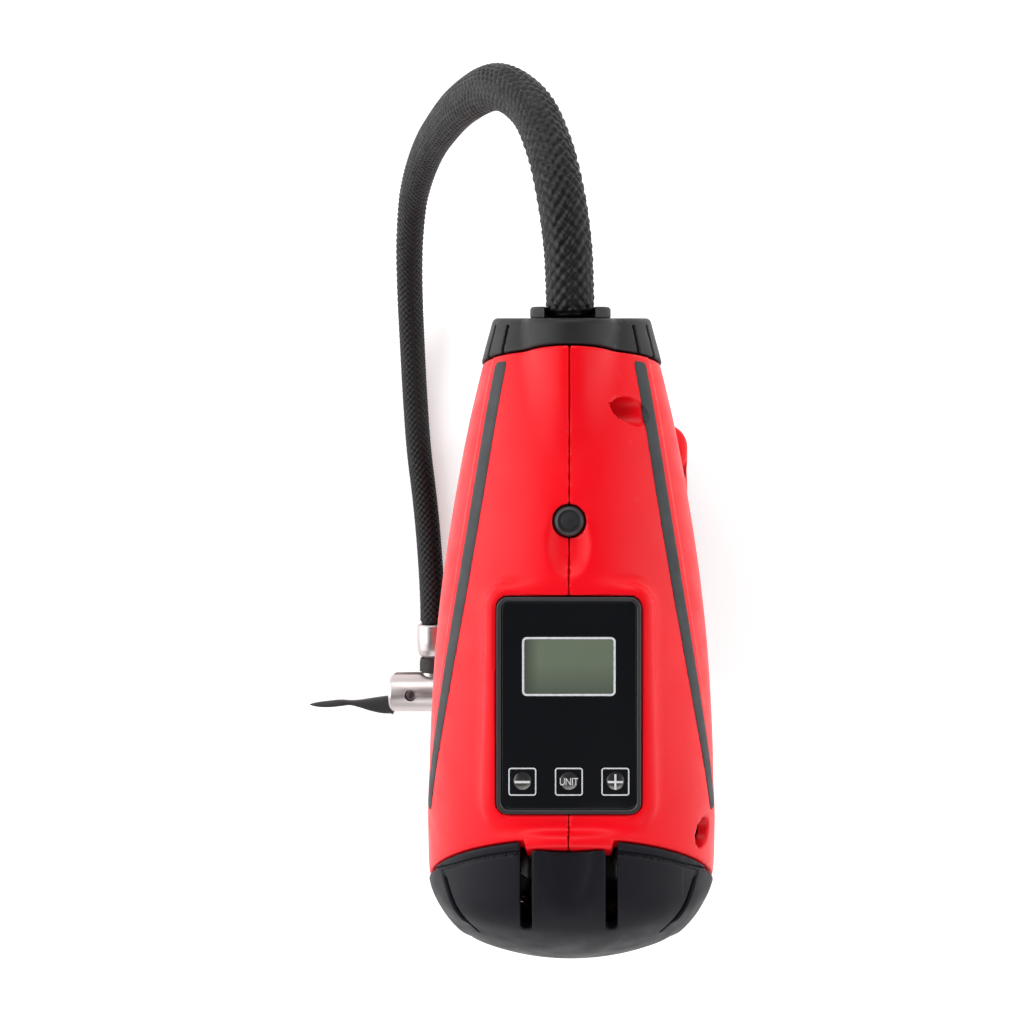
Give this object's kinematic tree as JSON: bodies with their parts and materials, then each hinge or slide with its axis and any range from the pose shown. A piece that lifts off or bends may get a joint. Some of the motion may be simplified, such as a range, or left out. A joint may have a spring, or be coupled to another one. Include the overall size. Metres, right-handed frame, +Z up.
{
  "type": "portable tire inflator",
  "caption": "Pistol-shaped cordless tire inflator with a display panel, trigger, braided air hose with lever chuck, geared piston pump and slide-off battery.",
  "frame": {"origin": "centre of the object's footprint box on the floor, without the hose", "axes": "+Z up, +Y out of the nose where the hose leaves, +X to the right of a person holding it"},
  "size_m": [0.1522, 0.2255, 0.1925],
  "materials": {
    "red_shell": "satin moulded, fine texture",
    "charcoal": "matt moulded",
    "dark_cap": "matt moulded",
    "rubber_inlay": "matt overmoulded",
    "gloss_panel": "high gloss",
    "lcd": "unlit grey-green display",
    "circuit": "solder-masked board",
    "black_plastic": "satin moulded",
    "clear_lens": "clear",
    "steel": "zinc plated",
    "nickel": "satin nickel",
    "brass": "plain",
    "alloy": "die cast",
    "nylon": "natural",
    "seal_rubber": "matt",
    "braid": "textile braid over rubber",
    "cell_wrap": "shrink-wrapped cell"
  },
  "bodies": {
    "casing": {"housing_left": "red_shell", "housing_right": "red_shell", "front_collar": "charcoal", "rear_cap": "dark_cap", "stripe_left": "rubber_inlay", "stripe_right": "rubber_inlay", "grip_cover_left": "rubber_inlay", "grip_cover_right": "rubber_inlay", "display_bezel": "gloss_panel", "display_overlay": "gloss_panel", "lcd_module": "lcd", "control_board": "circuit", "button_switch": "black_plastic", "led_lens": "clear_lens", "led_board": "circuit", "trigger_switch": "black_plastic", "motor_can": "steel", "motor_end_bell": "black_plastic", "pump_bracket": "steel", "shaft_bearing": "steel", "cylinder": "alloy", "cylinder_head": "alloy", "outlet_pipe": "black_plastic", "pressure_sensor": "black_plastic", "hose_gland": "black_plastic", "air_hose": "braid", "hose_ferrule": "nickel", "chuck_body": "nickel", "chuck_seal": "seal_rubber", "chuck_pin": "steel", "terminal_block": "black_plastic", "screw_nose": "steel", "screw_tail": "steel", "screw_grip": "steel", "screw_foot": "steel"},
    "key_minus": {"key_minus": "gloss_panel"},
    "key_unit": {"key_unit": "gloss_panel"},
    "key_plus": {"key_plus": "gloss_panel"},
    "light_button": {"light_button": "black_plastic"},
    "trigger": {"trigger": "black_plastic"},
    "rotor": {"armature": "brass", "motor_shaft": "steel", "pinion": "brass", "cooling_fan": "nylon"},
    "crank": {"drive_gear": "nylon", "crankshaft": "steel"},
    "piston": {"piston_rod": "alloy", "piston_seal": "seal_rubber"},
    "chuck_lever": {"chuck_lever": "black_plastic"},
    "battery": {"battery_lower_case": "black_plastic", "battery_upper_case": "black_plastic", "battery_board": "circuit", "cell_1": "cell_wrap", "cell_2": "cell_wrap", "cell_3": "cell_wrap", "cell_4": "cell_wrap", "cell_5": "cell_wrap"},
    "battery_release": {"battery_release": "red_shell"}
  },
  "joints": [
    {"name": "key_minus_press", "type": "slide", "parent": "casing", "child": "key_minus", "axis": [0, 0, -1], "range_m": [0, 0.0005], "stiffness_N_per_m": 800, "springref_m": -0.0005},
    {"name": "key_unit_press", "type": "slide", "parent": "casing", "child": "key_unit", "axis": [0, 0, -1], "range_m": [0, 0.0005], "stiffness_N_per_m": 800, "springref_m": -0.0005},
    {"name": "key_plus_press", "type": "slide", "parent": "casing", "child": "key_plus", "axis": [0, 0, -1], "range_m": [0, 0.0005], "stiffness_N_per_m": 800, "springref_m": -0.0005},
    {"name": "light_button_press", "type": "slide", "parent": "casing", "child": "light_button", "axis": [0, 0, -1], "range_m": [0, 0.0008], "stiffness_N_per_m": 800, "springref_m": -0.0005},
    {"name": "trigger_pull", "type": "slide", "parent": "casing", "child": "trigger", "axis": [0, -1, 0], "range_m": [0, 0.005], "stiffness_N_per_m": 900, "springref_m": -0.002},
    {"name": "rotor_spin", "type": "hinge", "parent": "casing", "child": "rotor", "pos_m": [0, -0.03, 0.152], "axis": [0, 1, 0], "continuous": true},
    {"name": "crank_spin", "type": "hinge", "parent": "casing", "child": "crank", "pos_m": [0, -0.006, 0.169], "axis": [0, 1, 0], "continuous": true},
    {"name": "piston_slide", "type": "slide", "parent": "casing", "child": "piston", "axis": [0, 0, 1], "range_m": [0, 0.008]},
    {"name": "chuck_lever_swing", "type": "hinge", "parent": "casing", "child": "chuck_lever", "pos_m": [-0.0685, -0.0469, 0.008], "axis": [0, 0, 1], "range_deg": [0, 90]},
    {"name": "battery_slide", "type": "slide", "parent": "casing", "child": "battery", "axis": [0, 1, 0], "range_m": [0, 0.092]},
    {"name": "battery_release_press", "type": "slide", "parent": "battery", "child": "battery_release", "axis": [0, -1, 0], "range_m": [0, 0.0025], "stiffness_N_per_m": 900, "springref_m": -0.001}
  ],
  "couplings": [
    {"joint": "crank_spin", "follows": "rotor_spin", "ratio": -0.25}
  ]
}
